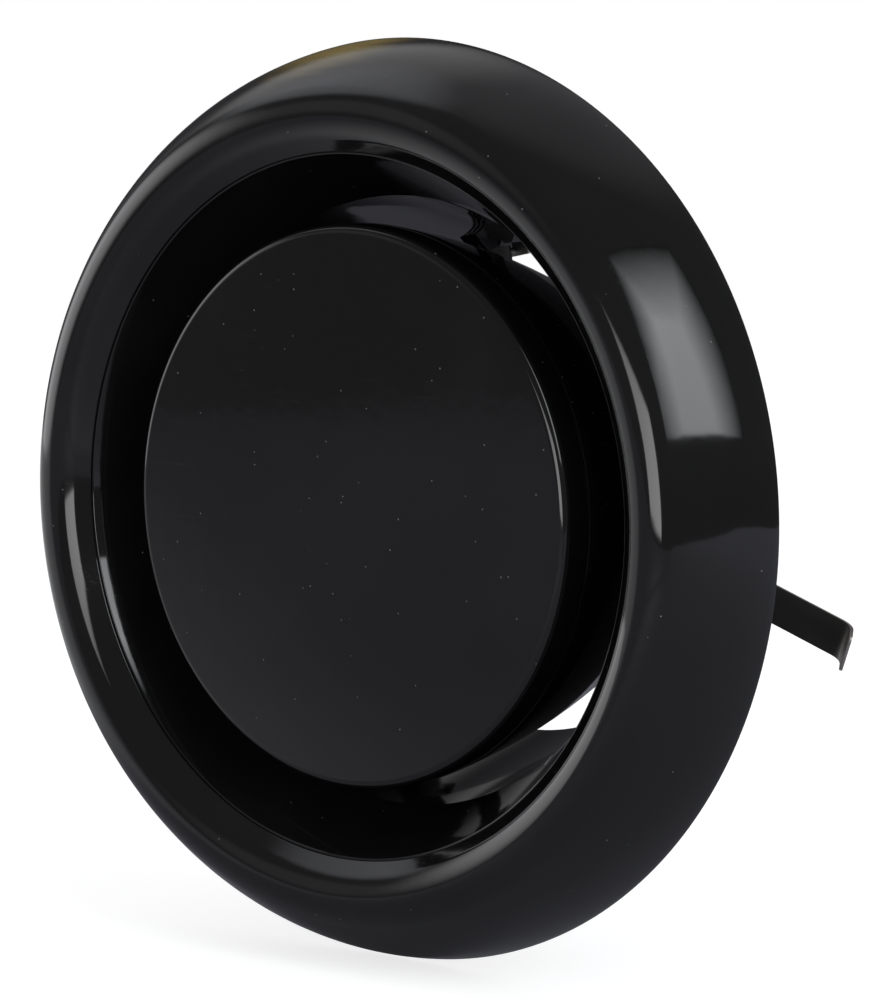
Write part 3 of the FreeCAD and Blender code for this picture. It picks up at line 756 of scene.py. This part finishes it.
def armMesh(spec):
    half = spec["width"] / 2
    slot = spec["grooveWidth"] / 2
    work = bmesh.new()
    grooveFrom, grooveTo = spec["grooveSpan"]
    floor = spec["front"] + spec["grooveDepth"]
    for low, high, grooved in ((-half, -slot, False), (-slot, slot, True), (slot, half, False)):
        outline = [(spec["root"], spec["front"])]
        if grooved:
            outline += [(grooveFrom, spec["front"]), (grooveFrom, floor), (grooveTo, floor),
                        (grooveTo, spec["front"])]
        outline += [(spec["gussetStart"], spec["front"]), spec["gussetEnd"], spec["wallPlace"],
                    (spec["wallPlace"][0], spec["rear"]), (spec["root"], spec["rear"])]
        plate(work, outline, low, high)
    rib = spec["ribWidth"] / 2
    plate(work, [(spec["root"], spec["ribFront"]), (spec["ribReach"], spec["ribFront"]),
                 (spec["ribReach"], spec["rear"]), (spec["root"], spec["ribRear"])], -rib, rib)
    tubeAlongY(work, spec["bossPlace"], spec["pilotRadius"], spec["bossRadius"], spec["bossFront"],
               spec["bossRear"], spec["bossRear"] - spec["pilotDepth"])
    return meshFrom(work, "arm")


def makeSpreadTree():
    tree, sockets, graph, given = groupWith("spreadRound", {
        "Piece": "NodeSocketGeometry", "Count": "NodeSocketInt", "Start": "NodeSocketFloat",
        "Merge": "NodeSocketFloat", "Finish": "NodeSocketMaterial"})
    count = given.output("Count")
    points = graph.node("GeometryNodePoints", None, {"Count": count})
    number = graph.node("GeometryNodeInputIndex")
    angle = given.output("Start") + number * (2 * math.pi) / count
    turned = graph.node("ShaderNodeCombineXYZ", None, {"Y": angle * -1.0})
    copies = graph.node("GeometryNodeInstanceOnPoints", None, {
        "Points": points, "Instance": given.output("Piece"), "Rotation": turned})
    whole = graph.node("GeometryNodeRealizeInstances", None, {"Geometry": copies})
    closeTree(graph, whole, given.output("Merge"), given.output("Finish"))
    return tree, sockets


spreadTree, spreadSockets = makeSpreadTree()


def spreadRound(name, mesh, spec, finish):
    item = newObject(name, mesh)
    applyTree(item, spreadTree, spreadSockets, {
        "Count": spec["count"], "Start": math.radians(spec["angle"]), "Merge": 0.0,
        "Finish": finishes[finish]})
    freeze(item, name)
    return item


def buildArms(spec):
    item = spreadRound("hubArms", armMesh(spec), spec, "throat")
    bevelEdges(item, spec["bevel"], spec["bevelSegments"])
    shade(item)
    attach(item, "housing")


buildArms(arms)
print("arms spread round the hub")

# Disc plate, with its rolled edge, skirt and stem
disc = {
    "radius": 43.8, "front": 14.0, "edge": 5.5, "edgeCurve": 1.4, "wall": 2.4, "skirtRadius": 40.8,
    "skirtWall": 1.6, "skirtDepth": 6.4, "stemRadius": 7.0, "stemEnd": 16.4, "insertBore": 4.55,
    "insertFront": 4.2, "threadBore": 3.25, "stemBottom": 8.9, "bevel": 0.15,
}


def buildDisc(spec):
    back = -(spec["front"] - spec["wall"])
    edgeBack = -(spec["front"] - spec["edge"])
    skirtInner = spec["skirtRadius"] - spec["skirtWall"]
    corners = [
        (0, -spec["front"]),
        (spec["radius"] - spec["edgeCurve"], -spec["front"], spec["edgeCurve"], "left"),
        (spec["radius"], -(spec["front"] - spec["edgeCurve"])),
        (spec["radius"], edgeBack),
        (spec["skirtRadius"], edgeBack),
        (spec["skirtRadius"], edgeBack + spec["skirtDepth"]),
        (skirtInner, edgeBack + spec["skirtDepth"]),
        (skirtInner, back),
        (spec["stemRadius"], back),
        (spec["stemRadius"], spec["stemEnd"]),
        (spec["insertBore"], spec["stemEnd"]),
        (spec["insertBore"], spec["insertFront"]),
        (spec["threadBore"], spec["insertFront"]),
        (spec["threadBore"], -spec["stemBottom"]),
        (0, -spec["stemBottom"]),
    ]
    item = turnPiece("discPlate", corners, "disc", spec["bevel"])
    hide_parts("disc_plate")
    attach(item, "disc")


buildDisc(disc)
print("disc turned")

# Cone: a thin bowl behind the disc, with a well for its nut
bowl = {
    "radius": 43.9, "front": 8.2, "curve": 149.0, "wall": 1.8, "rearRadius": 35.6, "rear": 26.8,
    "corner": 1.5, "floorRadius": 33.6, "wellRadius": 10.0, "wellDepth": 8.6, "bore": 3.25, "bevel": 0.2,
}


def buildBowl(spec):
    wall = spec["wall"]
    floor = spec["rear"] - wall
    wellFloor = spec["rear"] - spec["wellDepth"]
    corners = [
        (spec["radius"] - wall, -spec["front"]),
        (spec["radius"], -spec["front"], spec["curve"], "left"),
        (spec["rearRadius"], spec["rear"] - spec["corner"]),
        (spec["floorRadius"], spec["rear"]),
        (spec["wellRadius"], spec["rear"]),
        (spec["wellRadius"], wellFloor),
        (spec["bore"], wellFloor),
        (spec["bore"], wellFloor - wall),
        (spec["wellRadius"] + wall, wellFloor - wall),
        (spec["wellRadius"] + wall, floor),
        (spec["floorRadius"] - wall / 2, floor),
        (spec["rearRadius"] - wall, floor - spec["corner"], spec["curve"] - wall, "right"),
    ]
    item = turnPiece("coneBowl", corners, "disc", spec["bevel"])
    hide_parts("cone")
    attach(item, "disc")


buildBowl(bowl)
print("cone turned")

# Spindle, with its real thread, in metres
thread = {
    "Core": 0.00235, "Depth": 0.00062, "Pitch": 0.001, "Front": -0.0084, "Rear": 0.068, "Chamfer": 0.0008,
    "Rows": 620, "Steps": 36, "Merge": 0.0000005,
}
threadForm = {"flank": (0.08, 0.86), "end": 0.0000001, "sharp": 50.0}


def makeThreadTree():
    kinds = {label: "NodeSocketFloat" for label in ("Core", "Depth", "Pitch", "Front", "Rear", "Chamfer")}
    tree, sockets, graph, given = groupWith("cutThread", {
        "Start": "NodeSocketGeometry", **kinds, "Rows": "NodeSocketInt", "Steps": "NodeSocketInt",
        "Merge": "NodeSocketFloat", "Finish": "NodeSocketMaterial"})
    grid = graph.node("GeometryNodeMeshGrid", None, {
        "Size X": 1.0, "Size Y": 1.0, "Vertices X": given.output("Rows"),
        "Vertices Y": given.output("Steps") + 1})
    spot = graph.node("ShaderNodeSeparateXYZ", None, {"Vector": graph.node("GeometryNodeInputPosition")})
    along = spot.output("X") + 0.5
    around = spot.output("Y") + 0.5
    length = given.output("Rear") - given.output("Front")
    depth = given.output("Front") + along * length
    phase = graph.maths("FRACT", depth / given.output("Pitch") + around)
    ridge = graph.smooth(abs(phase - 0.5) * 2.0, *threadForm["flank"])
    nearEnd = graph.maths("MINIMUM", along * length, (1.0 - along) * length)
    lift = graph.maths("MINIMUM", nearEnd / given.output("Chamfer"), ridge)
    radius = (given.output("Core") + lift * given.output("Depth")) * (nearEnd > threadForm["end"])
    angle = around * (2 * math.pi)
    cosine = graph.maths("COSINE", angle)
    sine = graph.maths("SINE", angle)
    place = graph.node("ShaderNodeCombineXYZ", None,
                       {"X": radius * cosine, "Y": depth, "Z": radius * sine})
    cut = graph.node("GeometryNodeSetPosition", None, {"Geometry": grid, "Position": place})
    closeTree(graph, cut, given.output("Merge"), given.output("Finish"))
    return tree, sockets


def buildSpindle(spec):
    tree, sockets = makeThreadTree()
    item = newObject("threadedSpindle", bpy.data.meshes.new("spindleStart"))
    applyTree(item, tree, sockets, {**spec, "Finish": finishes["zinc"]})
    freeze(item, "threadedSpindle")
    outward(item.data)
    shade(item, threadForm["sharp"])
    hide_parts("spindle")
    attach(item, "carriage")


buildSpindle(thread)
print("thread cut")

# Small pieces keep the solids' shape, with softened edges and smooth bends
smallPieces = {
    "flange_gasket": {"finish": "foam", "slot": "foam", "body": "housing", "bevel": 0.3},
    "hub_insert": {"finish": "brass", "slot": "brass", "body": "housing", "bevel": 0.15},
    "stem_insert": {"finish": "brass", "slot": "brass", "body": "disc", "bevel": 0.15},
    "cone_washer": {"finish": "zinc", "slot": "steel", "body": "disc", "bevel": 0.12},
    "cone_nut": {"finish": "zinc", "slot": "steel", "body": "disc", "bevel": 0.1},
    "lock_washer": {"finish": "zinc", "slot": "steel", "body": "lock_washer", "bevel": 0.12},
    "lock_nut": {"finish": "zinc", "slot": "steel", "body": "lock_nut", "bevel": 0.1},
}
clipPieces = {
    "clip_root": {"finish": "spring", "slot": "spring_steel", "body": "housing", "bevel": 0.07},
    "clip_blade": {"finish": "spring", "slot": "spring_steel", "bevel": 0.07},
    "clip_screw": {"finish": "zinc", "slot": "steel", "body": "housing", "bevel": 0.0},
}
for side in ("right", "top", "left"):
    for pieceName, pieceSpec in clipPieces.items():
        smallPieces[f"{pieceName}_{side}"] = {"body": f"clip_{side}", **pieceSpec}
softening = {"weld": 0.000001, "flat": 0.6, "segments": 2, "sharp": 34.0}


def softenedCopy(node, spec):
    work = bmesh.new()
    work.from_mesh(nodes[node].data)
    bmesh.ops.remove_doubles(work, verts=work.verts, dist=softening["weld"])
    bmesh.ops.dissolve_limit(work, angle_limit=math.radians(softening["flat"]),
                             verts=work.verts, edges=work.edges)
    mesh = bpy.data.meshes.new(node)
    work.to_mesh(mesh)
    work.free()
    words = node.split("_")
    name = words[0] + "".join(word.capitalize() for word in words[1:])
    item = newObject(name, mesh)
    mesh.materials.append(finishes[spec["finish"]])
    if spec["bevel"]:
        bevelEdges(item, spec["bevel"], softening["segments"], softening["sharp"])
    shade(item, softening["sharp"])
    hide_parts(node)
    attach(item, spec["body"])


for nodeName, pieceSpec in smallPieces.items():
    softenedCopy(nodeName, pieceSpec)
print("small pieces softened")
